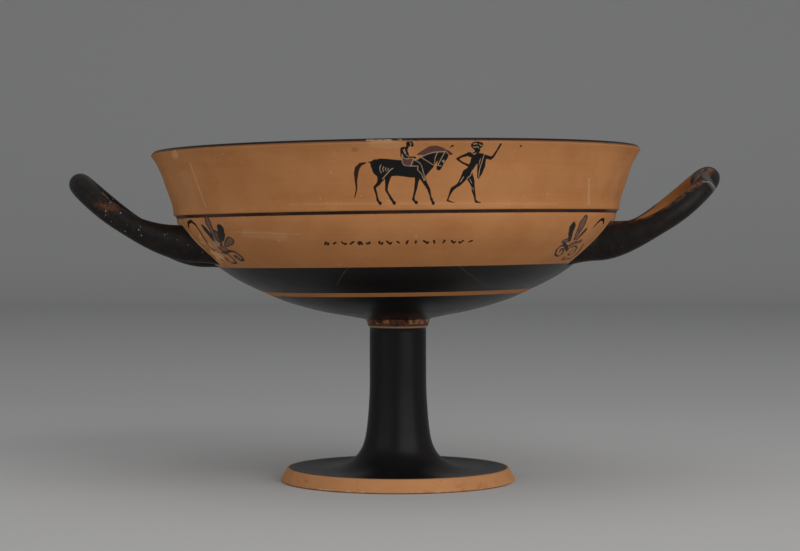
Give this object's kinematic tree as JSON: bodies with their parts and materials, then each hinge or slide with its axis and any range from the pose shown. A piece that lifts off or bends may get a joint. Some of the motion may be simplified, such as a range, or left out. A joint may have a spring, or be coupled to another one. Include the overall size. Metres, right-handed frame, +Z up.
{
  "type": "drinking cup",
  "caption": "Shallow stemmed clay drinking cup with a flared offset lip, upswept loop handles and a disc foot, painted black on orange.",
  "frame": {"origin": "on the table, at the middle of the foot's underside, on the axis of the stem", "axes": "+Z up along the stem; the handles lie along X; the painted front faces -Y"},
  "size_m": [0.2653, 0.2, 0.137],
  "materials": {
    "fired_clay": "orange clay left matt to satin, and semi-gloss black slip over the handles, stem, foot and lower bowl"
  },
  "bodies": {
    "root": {"kylix_cup": "fired_clay"}
  },
  "joints": []
}
